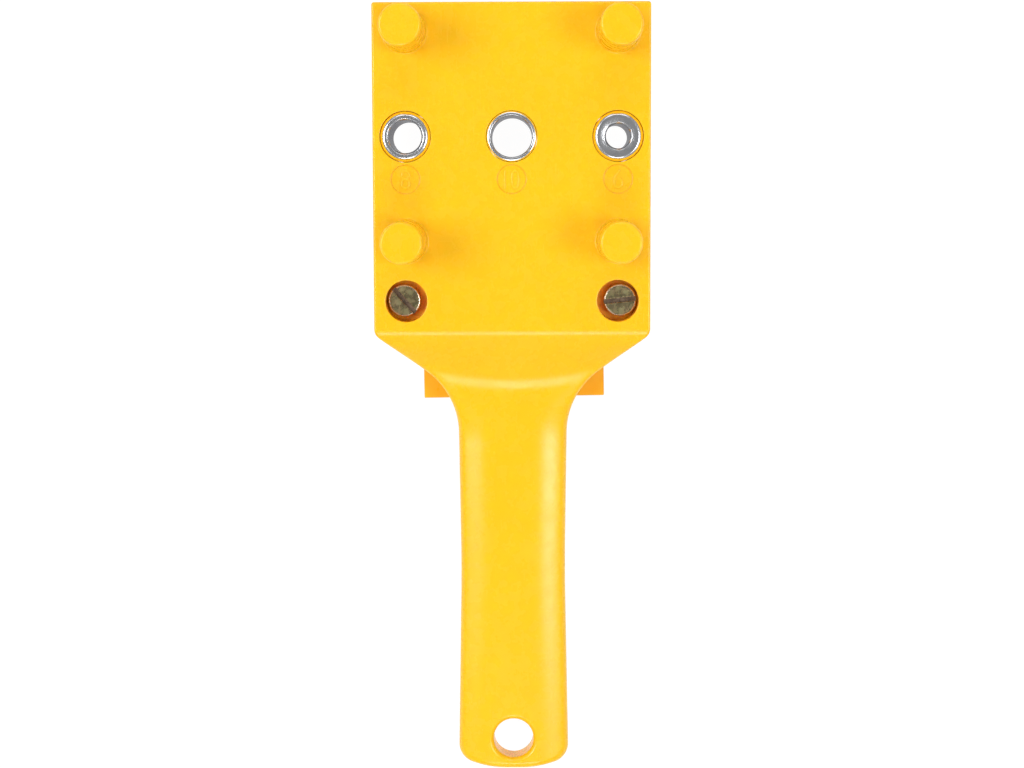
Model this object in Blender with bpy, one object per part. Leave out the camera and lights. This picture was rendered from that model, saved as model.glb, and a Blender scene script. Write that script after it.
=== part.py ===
"""Doweling jig: a moulded body with three steel drill bushes and an adjustable fence, lying on its back."""

import math

import bmesh
import bpy
from mathutils import Vector

MM = 0.001

# Jig frame: x to the right and y to the head's top, seen from the pegs.
# y = 0 is the bush row and z = 0 is the drilling face.

# Row of bushes and pegs
bush_edge_distance = 8.0 * MM
peg_row_distance = 25.5 * MM
peg_edge_distance = 7.0 * MM

# Head
head_width = 68.0 * MM
head_depth = 19.0 * MM
head_corner_radius = 0.7 * MM
head_edge_radius = 0.5 * MM
shoulder_below_screws = 8.4 * MM
shoulder_radius = 3.0 * MM

# Slope between the head and the grip
slope_lead = 0.5 * MM
slope_run = 13.5 * MM
slope_top_radius = 3.5 * MM
slope_foot_radius = 10.0 * MM
grip_drop = 7.0 * MM

# Grip
jig_length = 192.3 * MM
neck_half_width = 13.75 * MM
neck_below_shoulder = 15.35 * MM
neck_fillet = 20.0 * MM
waist_half_width = 13.1 * MM
waist_share = 0.46
waist_radius = 500.0 * MM
butt_half_width = 13.98 * MM
butt_shoulder = 2.3 * MM
butt_corner_radius = 4.5 * MM
butt_flat_half_width = 5.5 * MM
butt_crown_radius = 30.0 * MM
butt_depth = 7.6 * MM
grip_edge_radius = 4.2 * MM
edge_growth_lead = 1.4 * MM
edge_growth_run = 22.0 * MM
belly_depth = 8.3 * MM
belly_below_neck = 16.0 * MM
belly_run = 20.0 * MM
belly_flat_share = 0.27
belly_radius = 25.0 * MM
hang_hole_radius = 5.0 * MM
hang_hole_end_distance = 7.8 * MM
hang_hole_rim = 1.3 * MM
hang_hole_depth = 6.9 * MM

# Moulded walls
plate_thickness = 3.0 * MM
wall_thickness = 2.6 * MM
rib_thickness = 1.8 * MM
smallest_radius = 0.6 * MM
grip_rib_recess = 2.0 * MM
keel_recess = 1.5 * MM
grip_rib_count = 4
first_rib_below_neck = 14.0 * MM

# Pegs
peg_height = 20.0 * MM
peg_tip_radius = 5.05 * MM
peg_root_radius = 5.25 * MM
peg_tip_bevel = 0.4 * MM
peg_root_fillet = 0.5 * MM
peg_core_radius = 2.7 * MM
peg_roof = 3.0 * MM

# Drill bushes and the discs for their numerals
bush_radius = 6.1 * MM
left_bore_radius = 4.0 * MM
middle_bore_radius = 5.0 * MM
right_bore_radius = 3.0 * MM
bush_recess = 0.05 * MM
bush_outer_chamfer = 0.8 * MM
bush_inner_chamfer = 0.45 * MM
bush_least_land = 0.15 * MM
numeral_disc_radius = 3.65 * MM
numeral_disc_depth = 0.25 * MM
numeral_disc_distance = 10.4 * MM

# Clamp screws, each with its side and how far its slot is turned, and their nuts
screws_below_pegs = 14.7 * MM
screw_offset = 0.65 * MM
screw_shank_radius = 1.95 * MM
screw_past_nut = 0.9 * MM
screw_tip_chamfer = 0.6 * MM
screw_head_radius = 4.0 * MM
screw_head_height = 2.5 * MM
screw_head_edge = 0.7 * MM
screw_slot_width = 1.2 * MM
screw_slot_depth = 1.3 * MM
screw_turns = {"left": (-1, -48.0), "right": (1, 6.0)}
counterbore_radius = 5.1 * MM
counterbore_depth = 6.0 * MM
screw_hole_play = 1.0 * MM
nut_side = 7.0 * MM
nut_thickness = 2.2 * MM
nut_corner = 0.4 * MM

# Fence
fence_travel = 7.0 * MM
fence_skew_deg = 0.75
fence_face_distance = 13.0 * MM
fence_plate = 3.0 * MM
fence_wall = 2.4 * MM
fence_side_inset = 0.5 * MM
fence_ear_below_screws = 12.4 * MM
fence_ear_chamfer = 5.5 * MM
fence_tail_step = 10.5 * MM
fence_tail_length = 13.1 * MM
fence_corner_radius = 0.3 * MM
fence_inner_radius = 2.0 * MM
fence_slot_play = 0.5 * MM
fence_rib_height = 4.0 * MM
nut_channel_wall = 1.7 * MM
nut_channel_height = 3.2 * MM

# Clearances
touch_gap = 0.3 * MM
nut_slide_gap = 0.3 * MM
cut_margin = 4.0 * MM
weld_gap = 0.0001 * MM

# Facets
facet_gap = 0.03 * MM
round_steps = 48
small_round_steps = 32
edge_steps = 6
edge_growth_steps = 8
near_full = 0.999
straight_turn_deg = 0.0001
smooth_below_deg = 35.0

# Looks: colour, metallic and roughness
looks = {
    "yellow_plastic": ((0.98, 0.60, 0.018), 0.0, 0.38),
    "fence_plastic": ((0.93, 0.44, 0.010), 0.0, 0.42),
    "bush_steel": ((0.62, 0.62, 0.64), 1.0, 0.22),
    "yellow_zinc": ((0.42, 0.36, 0.17), 1.0, 0.38),
}

# Bushes by side and bore
bush_bores = {
    "drill_bush_8mm": (-1, left_bore_radius),
    "drill_bush_10mm": (0, middle_bore_radius),
    "drill_bush_6mm": (1, right_bore_radius),
}

# Derived places across the jig
bush_pitch = head_width / 2 - bush_edge_distance
screw_x = bush_pitch + screw_offset
rib_column_x = bush_pitch / 2
fence_half_width = head_width / 2 - fence_side_inset
fence_tail_half_width = fence_half_width - fence_tail_step

# Derived places along the jig
head_top = peg_row_distance + peg_edge_distance
screw_y = -peg_row_distance - screws_below_pegs
shoulder_y = screw_y - shoulder_below_screws
slope_top_y = shoulder_y + slope_lead
slope_foot_y = slope_top_y - slope_run
neck_y = shoulder_y - neck_below_shoulder
butt_y = head_top - jig_length
waist_y = neck_y + (butt_y - neck_y) * waist_share
edge_growth_start_y = shoulder_y - edge_growth_lead
edge_growth_end_y = edge_growth_start_y - edge_growth_run
belly_start_y = neck_y - belly_below_neck
belly_end_y = belly_start_y - belly_run
hang_hole_y = butt_y + hang_hole_end_distance
collar_radius = hang_hole_radius + wall_thickness
tail_end_y = hang_hole_y + collar_radius
tail_start_y = belly_end_y + (tail_end_y - belly_end_y) * belly_flat_share
head_rib_rows = (head_top / 2, 0.0, screw_y / 2, screw_y)
first_grip_rib_y = neck_y - first_rib_below_neck
grip_rib_pitch = (first_grip_rib_y - hang_hole_y) / grip_rib_count
fence_ear_y = screw_y - fence_ear_below_screws
fence_tail_y = fence_ear_y - fence_tail_length

# Derived depths and radii
grip_depth_z = -(head_depth + belly_depth)
butt_depth_z = -(grip_drop + butt_depth)
fence_depth = belly_depth - touch_gap
fence_front_z = -head_depth - touch_gap
counterbore_floor_z = -counterbore_depth
screw_seat_z = counterbore_floor_z + touch_gap
nut_top_z = fence_front_z - fence_plate - touch_gap
screw_length = screw_seat_z - nut_top_z + nut_thickness + screw_past_nut
screw_hole_radius = screw_shank_radius + screw_hole_play
screw_boss_radius = counterbore_radius + wall_thickness
bush_seat_radius = bush_radius + touch_gap
bush_boss_radius = bush_seat_radius + wall_thickness
fence_slot_half_width = screw_shank_radius + fence_slot_play
tool_reach = 2 * head_width
datum = Vector((0.0, jig_length / 2 - head_top, -grip_depth_z))


def clear_scene():
    for old in list(bpy.data.objects):
        bpy.data.objects.remove(old, do_unlink=True)


def material(name, colour, metallic, roughness):
    made = bpy.data.materials.new(name)
    made.use_nodes = True
    shader = made.node_tree.nodes["Principled BSDF"]
    shader.inputs["Base Color"].default_value = (*colour, 1.0)
    shader.inputs["Metallic"].default_value = metallic
    shader.inputs["Roughness"].default_value = roughness
    return made


def object_of(name, bm, place=(0.0, 0.0, 0.0)):
    """The object of a mesh drawn about its own origin, set at a place in the jig frame."""
    bmesh.ops.recalc_face_normals(bm, faces=bm.faces)
    mesh = bpy.data.meshes.new(name)
    bm.to_mesh(mesh)
    bm.free()
    made = bpy.data.objects.new(name, mesh)
    bpy.context.scene.collection.objects.link(made)
    made.location = datum + Vector(place)
    return made


def hidden(tool):
    tool.hide_render = True
    tool.display_type = "WIRE"
    return tool


def combine(target, operation, tool):
    step = target.modifiers.new(tool.name, "BOOLEAN")
    step.operation = operation
    step.solver = "EXACT"
    step.object = hidden(tool)


def finish(made, look):
    made.data.materials.append(look)
    made.data.shade_smooth()
    made.data.set_sharp_from_angle(angle=math.radians(smooth_below_deg))
    return made


# Round paths


def arc_steps(radius, sweep):
    """How many facets keep an arc within the facet gap."""
    turn = 2 * math.acos(1 - min(facet_gap / radius, 1.0))
    return math.ceil(sweep / turn)


def quarter_round(centre, radius, start, end):
    """The points of an arc about a centre in radius and height, between two quarter turns."""
    steps = arc_steps(radius, math.pi / 2)
    turns = [math.pi / 2 * (start + (end - start) * i / steps) for i in range(steps + 1)]
    return [(centre[0] + radius * math.cos(turn), centre[1] + radius * math.sin(turn)) for turn in turns]


def arc_between(before, corner, after, radius):
    """The points that round a corner within half its shorter side, or the corner where there is no turn."""
    corner = Vector(corner)
    to_before = Vector(before) - corner
    to_after = Vector(after) - corner
    room = min(to_before.length, to_after.length) / 2
    to_before.normalize()
    to_after.normalize()
    half = to_before.angle(to_after) / 2
    if math.pi - 2 * half < math.radians(straight_turn_deg):
        return [corner]
    radius = min(radius, room * math.tan(half))
    start = corner + to_before * (radius / math.tan(half))
    end = corner + to_after * (radius / math.tan(half))
    centre = corner + (to_before + to_after).normalized() * (radius / math.sin(half))
    first, last = start - centre, end - centre
    sweep = first.angle(last)
    steps = arc_steps(radius, sweep)
    points = []
    for i in range(steps + 1):
        turn = sweep * i / steps
        points.append(centre + (first * math.sin(sweep - turn) + last * math.sin(turn)) / math.sin(sweep))
    return points


def mirrored(point):
    return (-point[0], point[1])


def rounded_side(corners):
    """The right-hand side of a symmetric outline, from its top edge round to its bottom edge."""
    path = []
    for i, (x, y, radius) in enumerate(corners):
        before = corners[i - 1][:2] if i else mirrored(corners[0])
        after = corners[i + 1][:2] if i + 1 < len(corners) else mirrored(corners[-1])
        path += arc_between(before, (x, y), after, radius)
    return path


def rounded_line(corners):
    """An open line through its corners, each rounded but for the two ends."""
    path = [Vector(corners[0][:2])]
    for before, (x, y, radius), after in zip(corners, corners[1:], corners[2:]):
        path += arc_between(before[:2], (x, y), after[:2], radius)
    return path + [Vector(corners[-1][:2])]


def height_on(line, y):
    """The height of a line that runs down in y."""
    for a, b in zip(line, line[1:]):
        if a.x >= y >= b.x:
            return a.y + (b.y - a.y) * (a.x - y) / (a.x - b.x)
    return line[0].y if y > line[0].x else line[-1].y


def outward(a, b):
    """The outward normal of an edge of a side that runs down on the right."""
    along = (b - a).normalized()
    return Vector((-along.y, along.x))


def inset_corners(corners, distance):
    """The same outline a wall thickness further in, its hollow corners rounder and its outer ones tighter."""
    points = [Vector(mirrored(corners[0]))]
    points += [Vector(c[:2]) for c in corners]
    points.append(Vector(mirrored(corners[-1])))
    made = []
    for i, (_, _, radius) in enumerate(corners, start=1):
        into = outward(points[i - 1], points[i])
        out_of = outward(points[i], points[i + 1])
        shift = (into + out_of) / (1 + into.dot(out_of))
        moved = points[i] - shift * distance
        is_hollow = (points[i] - points[i - 1]).cross(points[i + 1] - points[i]) > 0
        new_radius = radius + distance if is_hollow else max(radius - distance, smallest_radius)
        made.append((moved.x, moved.y, new_radius))
    return made


def with_rows(path, rows):
    """The path with a point at each row that has none near by."""
    made = [path[0]]
    near = smallest_radius / 2
    for a, b in zip(path, path[1:]):
        between = sorted((y for y in rows if b.y + near < y < a.y - near), reverse=True)
        made += [a.lerp(b, (a.y - y) / (a.y - b.y)) for y in between]
        made.append(b)
    return made


def smooth_share(value, start, end):
    share = min(max((value - start) / (end - start), 0.0), 1.0)
    return share * share * (3 - 2 * share)


# Solids


def moulding(name, corners, rows, face_height, back_height, edge_radius):
    """A symmetric solid between a face and a back that change height along y, its front edge rounded over."""
    path = with_rows(rounded_side(corners), rows)
    before = [Vector(mirrored(path[0]))] + path[:-1]
    after = path[1:] + [Vector(mirrored(path[-1]))]
    normals = [(outward(a, p) + outward(p, b)).normalized() for a, p, b in zip(before, path, after)]
    bm = bmesh.new()
    rings = []

    def ring(point_at):
        right = [bm.verts.new(point_at(p, n)) for p, n in zip(path, normals)]
        left = [bm.verts.new((-v.co.x, v.co.y, v.co.z)) for v in right]
        rings.append((right, left))

    ring(lambda p, n: (p.x, p.y, back_height(p.y)))
    for step in range(edge_steps + 1 if edge_radius else 1):
        turn = math.pi / 2 * step / edge_steps

        def on_edge(p, n, turn=turn):
            radius = edge_radius(p.y) if edge_radius else 0.0
            q = p - n * (radius * (1 - math.cos(turn)))
            return (q.x, q.y, face_height(q.y) - radius * (1 - math.sin(turn)))

        ring(on_edge)
    last = len(path) - 1
    for (right, left), (upper_right, upper_left) in zip(rings, rings[1:]):
        for i in range(last):
            bm.faces.new((right[i], right[i + 1], upper_right[i + 1], upper_right[i]))
            bm.faces.new((left[i + 1], left[i], upper_left[i], upper_left[i + 1]))
        bm.faces.new((left[0], right[0], upper_right[0], upper_left[0]))
        bm.faces.new((right[last], left[last], upper_left[last], upper_right[last]))
    for right, left in (rings[0], rings[-1]):
        for i in range(last):
            bm.faces.new((right[i], right[i + 1], left[i + 1], left[i]))
    return object_of(name, bm)


def turned(name, profile, place, steps=round_steps):
    """A solid of revolution about z from (radius, height) points."""
    bm = bmesh.new()
    verts = [bm.verts.new((radius, 0.0, height)) for radius, height in profile]
    edges = [bm.edges.new(pair) for pair in zip(verts, verts[1:])]
    if profile[0][0] > 0:
        edges.append(bm.edges.new((verts[-1], verts[0])))
    bmesh.ops.spin(
        bm, geom=verts + edges, cent=(0, 0, 0), axis=(0, 0, 1), angle=math.tau, steps=steps, use_merge=True
    )
    bmesh.ops.remove_doubles(bm, verts=bm.verts, dist=weld_gap)
    return object_of(name, bm, place)


def cylinder(name, radius, low, high, place, steps=round_steps):
    return turned(name, [(0.0, low), (radius, low), (radius, high), (0.0, high)], place, steps)


def box(name, low, high, place=(0.0, 0.0, 0.0)):
    bm = bmesh.new()
    bmesh.ops.create_cube(bm, size=1.0)
    middle = (Vector(low) + Vector(high)) / 2
    sides = Vector(high) - Vector(low)
    for vert in bm.verts:
        vert.co = middle + Vector(a * b for a, b in zip(vert.co, sides))
    return object_of(name, bm, place)


def prism(name, outline, low, high, place=(0.0, 0.0, 0.0), across=False):
    """An outline raised along z or, for one drawn in y and z, across x."""

    def at(point, level):
        return (level, point[0], point[1]) if across else (point[0], point[1], level)

    bm = bmesh.new()
    face = bm.faces.new([bm.verts.new(at(p, low)) for p in outline])
    raised = bmesh.ops.extrude_face_region(bm, geom=[face])["geom"]
    step = Vector((high - low, 0, 0)) if across else Vector((0, 0, high - low))
    bmesh.ops.translate(bm, verts=[v for v in raised if isinstance(v, bmesh.types.BMVert)], vec=step)
    return object_of(name, bm, place)


def both_sides(path):
    """The closed outline of a symmetric path."""
    return list(path) + [Vector(mirrored(p)) for p in reversed(path)]


# Heights along y of the face, of the hollow behind it and of the back rim

face_line = rounded_line([
    (head_top + cut_margin, 0.0),
    (slope_top_y, 0.0, slope_top_radius),
    (slope_foot_y, -grip_drop, slope_foot_radius),
    (butt_y - cut_margin, -grip_drop),
])
hollow_shift = plate_thickness * math.tan(math.atan2(grip_drop, slope_run) / 2)
hollow_line = rounded_line([
    (head_top + cut_margin, -plate_thickness),
    (slope_top_y + hollow_shift, -plate_thickness, smallest_radius),
    (slope_foot_y + hollow_shift, -grip_drop - plate_thickness, slope_foot_radius + plate_thickness),
    (butt_y - cut_margin, -grip_drop - plate_thickness),
])
back_line = rounded_line([
    (head_top + cut_margin, -head_depth),
    (belly_start_y, -head_depth, belly_radius),
    (belly_end_y, grip_depth_z, belly_radius),
    (tail_start_y, grip_depth_z, belly_radius),
    (tail_end_y, butt_depth_z, belly_radius),
    (butt_y - cut_margin, butt_depth_z),
])
edge_rows = [
    edge_growth_start_y - edge_growth_run * i / edge_growth_steps
    for i in range(edge_growth_steps + 1)
]


def face_height(y):
    return height_on(face_line, y)


def back_height(y):
    return height_on(back_line, y)


def front_edge_radius(y):
    share = smooth_share(-y, -edge_growth_start_y, -edge_growth_end_y)
    return head_edge_radius + (grip_edge_radius - head_edge_radius) * share


# Body


def core_with_stiffeners():
    """What the mould's core leaves empty behind the face: the hollow less its ribs and bosses."""
    core = moulding(
        "core",
        inset_corners(outline_corners, wall_thickness),
        [p.x for p in hollow_line],
        lambda y: height_on(hollow_line, y),
        lambda y: grip_depth_z - cut_margin,
        None,
    )
    low, high = grip_depth_z - 2 * cut_margin, cut_margin
    half_rib = rib_thickness / 2
    for i, y in enumerate(head_rib_rows):
        rib = box(f"head_rib_row_{i}", (-tool_reach, y - half_rib, low), (tool_reach, y + half_rib, high))
        combine(core, "DIFFERENCE", rib)
    for side in (-1, 1):
        x = side * rib_column_x
        rib = box(f"head_rib_column_{side}", (x - half_rib, neck_y, low), (x + half_rib, tool_reach, high))
        combine(core, "DIFFERENCE", rib)
        boss = cylinder(f"screw_boss_{side}", screw_boss_radius, low, high, (side * bush_pitch, screw_y, 0))
        combine(core, "DIFFERENCE", boss)
    for side in (-1, 0, 1):
        boss = cylinder(f"bush_boss_{side}", bush_boss_radius, low, high, (side * bush_pitch, 0, 0))
        combine(core, "DIFFERENCE", boss)
    keel_line = [p for p in back_line if hang_hole_y < p.x < slope_foot_y]
    spine = [Vector((tool_reach, high)), Vector((hang_hole_y, high))]
    spine.append(Vector((hang_hole_y, back_height(hang_hole_y) + keel_recess)))
    spine += [Vector((p.x, p.y + keel_recess)) for p in reversed(keel_line)]
    spine.append(Vector((slope_foot_y, back_height(slope_foot_y) + keel_recess)))
    spine += [Vector((slope_foot_y, low)), Vector((tool_reach, low))]
    combine(core, "DIFFERENCE", prism("spine", spine, -half_rib, half_rib, across=True))
    for i in range(grip_rib_count):
        y = first_grip_rib_y - i * grip_rib_pitch
        foot = back_height(y) + grip_rib_recess
        rib = box(f"grip_rib_{i}", (-tool_reach, y - half_rib, foot), (tool_reach, y + half_rib, high))
        combine(core, "DIFFERENCE", rib)
    collar_z = -grip_drop - hang_hole_depth
    collar = cylinder("hang_hole_collar", collar_radius, collar_z, high, (0, hang_hole_y, 0))
    combine(core, "DIFFERENCE", collar)
    return core


def peg(name, place):
    foot_radius = peg_root_radius + peg_root_fillet
    fillet = quarter_round((foot_radius, peg_root_fillet), peg_root_fillet, -1, -2)
    tip = [(peg_tip_radius, peg_height - peg_tip_bevel), (peg_tip_radius - peg_tip_bevel, peg_height)]
    sunk = -plate_thickness / 2
    profile = [(0.0, sunk), (foot_radius, sunk)] + fillet + tip + [(0.0, peg_height)]
    return turned(name, profile, place)


def jig_body(look):
    rows = [p.x for p in face_line] + [p.x for p in back_line] + edge_rows
    body = moulding("jig_body", outline_corners, rows, face_height, back_height, front_edge_radius)
    combine(body, "DIFFERENCE", core_with_stiffeners())
    low = grip_depth_z - cut_margin
    for side in (-1, 1):
        for row in (-1, 1):
            place = (side * bush_pitch, row * peg_row_distance, 0)
            combine(body, "UNION", peg(f"peg_{side}_{row}", place))
            top = peg_height - peg_roof
            hollow = cylinder(f"peg_core_{side}_{row}", peg_core_radius, low, top, place, small_round_steps)
            combine(body, "DIFFERENCE", hollow)
        place = (side * bush_pitch, screw_y, 0)
        seat = cylinder(f"counterbore_{side}", counterbore_radius, counterbore_floor_z, cut_margin, place)
        combine(body, "DIFFERENCE", seat)
        hole_top = counterbore_floor_z / 2
        hole = cylinder(f"screw_hole_{side}", screw_hole_radius, low, hole_top, place, small_round_steps)
        combine(body, "DIFFERENCE", hole)
    for side in (-1, 0, 1):
        seat = cylinder(f"bush_seat_{side}", bush_seat_radius, low, cut_margin, (side * bush_pitch, 0, 0))
        combine(body, "DIFFERENCE", seat)
        place = (side * bush_pitch, -numeral_disc_distance, 0)
        name, floor = f"numeral_disc_{side}", -numeral_disc_depth
        disc = cylinder(name, numeral_disc_radius, floor, cut_margin, place, small_round_steps)
        combine(body, "DIFFERENCE", disc)
    rim_radius = hang_hole_radius + hang_hole_rim
    rim = quarter_round((rim_radius, -grip_drop - hang_hole_rim), hang_hole_rim, 2, 1)
    profile = [(0.0, low), (hang_hole_radius, low)] + rim + [(rim_radius, 0.0), (0.0, 0.0)]
    combine(body, "DIFFERENCE", turned("hang_hole", profile, (0, hang_hole_y, 0)))
    return finish(body, look)


outline_corners = [
    (head_width / 2, head_top, head_corner_radius),
    (head_width / 2, shoulder_y, shoulder_radius),
    (neck_half_width, neck_y, neck_fillet),
    (waist_half_width, waist_y, waist_radius),
    (butt_half_width, butt_y + butt_shoulder, butt_corner_radius),
    (butt_flat_half_width, butt_y, butt_crown_radius),
]


# Drill bushes


def drill_bush(name, side, bore, look):
    wall = bush_radius - bore
    share = min(1.0, (wall - bush_least_land) / (bush_outer_chamfer + bush_inner_chamfer))
    outer, inner = bush_outer_chamfer * share, bush_inner_chamfer * share
    half = head_depth / 2 - bush_recess
    profile = [
        (bore, -half + inner),
        (bore + inner, -half),
        (bush_radius - outer, -half),
        (bush_radius, -half + outer),
        (bush_radius, half - outer),
        (bush_radius - outer, half),
        (bore + inner, half),
        (bore, half - inner),
    ]
    return finish(turned(name, profile, (side * bush_pitch, 0, -head_depth / 2)), look)


# Clamp screws and nuts


def clamp_screw(name, side, slot_deg, look):
    top = screw_head_height
    rim = quarter_round((screw_head_radius - screw_head_edge, top - screw_head_edge), screw_head_edge, 0, 1)
    profile = [
        (0.0, -screw_length),
        (screw_shank_radius - screw_tip_chamfer, -screw_length),
        (screw_shank_radius, -screw_length + screw_tip_chamfer),
        (screw_shank_radius, 0.0),
        (screw_head_radius, 0.0),
    ]
    place = (side * screw_x, screw_y, screw_seat_z)
    screw = turned(name, profile + rim + [(0.0, top)], place, small_round_steps)
    reach = screw_head_radius + cut_margin
    half = screw_slot_width / 2
    floor = top - screw_slot_depth
    slot = box(f"{name}_slot", (-reach, -half, floor), (reach, half, top + cut_margin), place)
    combine(screw, "DIFFERENCE", slot)
    slot.rotation_euler.z = math.radians(slot_deg)
    return finish(screw, look)


def square_nut(name, side, look):
    half = nut_side / 2
    corners = [(half, half, nut_corner), (half, -half, nut_corner)]
    place = (side * screw_x, screw_y, nut_top_z)
    nut = prism(name, both_sides(rounded_side(corners)), -nut_thickness, 0.0, place)
    bore = screw_shank_radius + touch_gap
    hole = cylinder(f"{name}_hole", bore, -2 * nut_thickness, nut_thickness, place, small_round_steps)
    combine(nut, "DIFFERENCE", hole)
    return finish(nut, look)


# Fence


def fence(look):
    """The stop behind the head, drawn about the middle of its slots and clamped slightly askew."""
    made_before = set(bpy.data.objects)
    face, ear, tail = (y - screw_y for y in (-fence_face_distance, fence_ear_y, fence_tail_y))
    place = (0, screw_y, fence_front_z)
    outline = both_sides(rounded_side([
        (fence_half_width, face, fence_corner_radius),
        (fence_half_width, ear + fence_ear_chamfer, fence_inner_radius),
        (fence_half_width - fence_ear_chamfer, ear, fence_inner_radius),
        (fence_tail_half_width, ear, fence_inner_radius),
        (fence_tail_half_width, tail, fence_corner_radius),
    ]))
    made = prism("fence", outline, -fence_depth, 0.0, place)
    low, high = -fence_depth - cut_margin, -fence_plate
    back = box("fence_back", (-tool_reach, -tool_reach, low), (tool_reach, face - fence_wall, high), place)
    rib_low = -fence_plate - fence_rib_height
    half_wall = fence_wall / 2
    for side in (-1, 0, 1):
        x = side * (fence_tail_half_width - half_wall)
        rib = box(
            f"fence_rib_{side}",
            (x - half_wall, -tool_reach - cut_margin, rib_low),
            (x + half_wall, tool_reach, 0),
            place,
        )
        combine(back, "DIFFERENCE", rib)
    channel_low = -fence_plate - nut_channel_height
    channel_half = nut_side / 2 + nut_slide_gap
    channel_reach = fence_travel + channel_half
    for side in (-1, 1):
        for edge in (-1, 1):
            near = side * screw_x + edge * channel_half
            away = near + edge * nut_channel_wall
            rail = box(
                f"nut_rail_{side}_{edge}",
                (min(near, away), -channel_reach, channel_low),
                (max(near, away), channel_reach, 0),
                place,
            )
            combine(back, "DIFFERENCE", rail)
    combine(made, "DIFFERENCE", back)
    half = fence_slot_half_width
    reach = fence_travel + half + touch_gap
    slot = both_sides(rounded_side([(half, reach, half * near_full), (half, -reach, half * near_full)]))
    for side in (-1, 1):
        slot_place = (side * screw_x, screw_y, fence_front_z)
        combine(made, "DIFFERENCE", prism(f"fence_slot_{side}", slot, low, cut_margin, slot_place))
    pivot = bpy.data.objects.new("fence_pivot", None)
    bpy.context.scene.collection.objects.link(pivot)
    for piece in set(bpy.data.objects) - made_before - {pivot}:
        piece.parent = pivot
        piece.location -= made.location if piece != made else Vector()
    pivot.location = made.location.copy()
    made.location = Vector()
    pivot.rotation_euler.z = math.radians(fence_skew_deg)
    return finish(made, look)


def main():
    clear_scene()
    made = {name: material(name, *values) for name, values in looks.items()}
    jig_body(made["yellow_plastic"])
    for name, (side, bore) in bush_bores.items():
        drill_bush(name, side, bore, made["bush_steel"])
    fence(made["fence_plastic"])
    for label, (side, slot_deg) in screw_turns.items():
        clamp_screw(f"clamp_screw_{label}", side, slot_deg, made["yellow_zinc"])
        square_nut(f"square_nut_{label}", side, made["yellow_zinc"])


main()
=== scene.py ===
import math

import bmesh
import bpy
from mathutils import Matrix, Vector


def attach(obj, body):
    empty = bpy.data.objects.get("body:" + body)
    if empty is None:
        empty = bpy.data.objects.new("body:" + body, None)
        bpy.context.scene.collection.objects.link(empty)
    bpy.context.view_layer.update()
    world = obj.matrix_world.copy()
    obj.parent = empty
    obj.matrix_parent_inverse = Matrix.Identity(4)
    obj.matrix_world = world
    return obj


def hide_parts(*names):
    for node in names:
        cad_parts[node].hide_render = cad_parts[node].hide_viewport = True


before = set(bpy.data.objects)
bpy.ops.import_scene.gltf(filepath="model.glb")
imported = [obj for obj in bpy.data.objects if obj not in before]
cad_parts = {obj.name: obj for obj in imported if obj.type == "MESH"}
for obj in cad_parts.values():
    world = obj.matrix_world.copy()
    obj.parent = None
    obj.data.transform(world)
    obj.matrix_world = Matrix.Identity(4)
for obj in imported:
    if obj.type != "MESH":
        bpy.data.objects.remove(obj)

for startup in ("Cube", "Light", "Camera"):
    if startup in bpy.data.objects:
        bpy.data.objects.remove(bpy.data.objects[startup], do_unlink=True)
bpy.context.view_layer.update()
scene = bpy.context.scene

# Shapes are drawn in millimetres in the jig frame: x right, y to the head's top, z = 0 on the drilling face.
# DATUM is where that frame's origin lies in the world.
MM = 0.001
DATUM = Vector((0.0, 63.65, 27.3))

# Sizes of the solids and of the finer shapes over them
HEAD_HALF, HEAD_TOP, HEAD_DEPTH, HEAD_EDGE = 34.0, 32.5, 19.0, 0.5
SHOULDER_Y, SLOPE_TOP, SLOPE_FOOT, DROP = -48.6, -48.1, -61.6, 7.0
NECK_Y, WAIST_Y, BUTT_Y = -63.95, -108.04, -159.8
PLATE, WALL, HALF_RIB, BACK = 3.0, 2.6, 0.9, -27.3
PITCH, PEG_ROW, PEG_TOP, PEG_ROOF, PEG_CORE = 26.0, 25.5, 20.0, 3.0, 2.7
PEG_FOOT, PEG_TIP, PEG_FILLET, PEG_ROUND = 5.25, 5.05, 0.5, 0.6
GRIP_RIBS, RIB_RECESS, KEEL_RECESS = 4, 2.0, 1.5
SEAT_RADIUS, SEAT_RIM, BUSH_RADIUS, BUSH_BOSS = 6.27, 0.08, 6.15, 9.0
SCREW_X, SCREW_Y, SCREW_SEAT = 26.65, -40.2, -5.7
RIB_ROWS = (16.25, 0.0, -20.1, SCREW_Y)
BORE_RADIUS, BORE_FLOOR, BORE_RIM, SCREW_HOLE, SCREW_BOSS = 5.1, -6.0, 0.25, 2.95, 7.7
HOLE_Y, HOLE_RADIUS, HOLE_RIM, BUTT_BACK = -152.0, 5.0, 1.3, -14.6
GRIP_EDGE, CROWN_RADIUS, CROWN_WIDTH, FOOT_BOW = 1.6, 20.0, 8.9, 2.0
DISC_RADIUS, DISC_DEPTH, DISC_RIM, DISC_Y = 3.65, 0.25, 0.14, -10.4
NUMERAL_HIGH, NUMERAL_WIDE, NUMERAL_Z = 4.9, {"8": 2.5, "10": 3.9, "6": 2.5}, -0.33
FENCE_FRONT, FENCE_PLATE, FENCE_DEPTH, FENCE_WALL = -19.3, 3.0, 8.0, 2.4
NUT_TOP, NUT_THICK, NUT_HALF = -22.6, 2.2, 3.5

# FAR, PAST_TOP and PAST_BUTT lie beyond the jig, and CUT is how far a tool reaches past what it cuts.
# SKIM is how far a rounded rim runs past the face it meets, so that the two cross and never just touch.
# FACET is how far a facet may leave its arc, and ROUND is the number of facets in a full turn.
FAR, PAST_TOP, PAST_BUTT = 136.0, 37.0, -164.0
CUT = 4.0
SKIM = 0.015
FACET = 0.004
ROUND = 96

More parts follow.
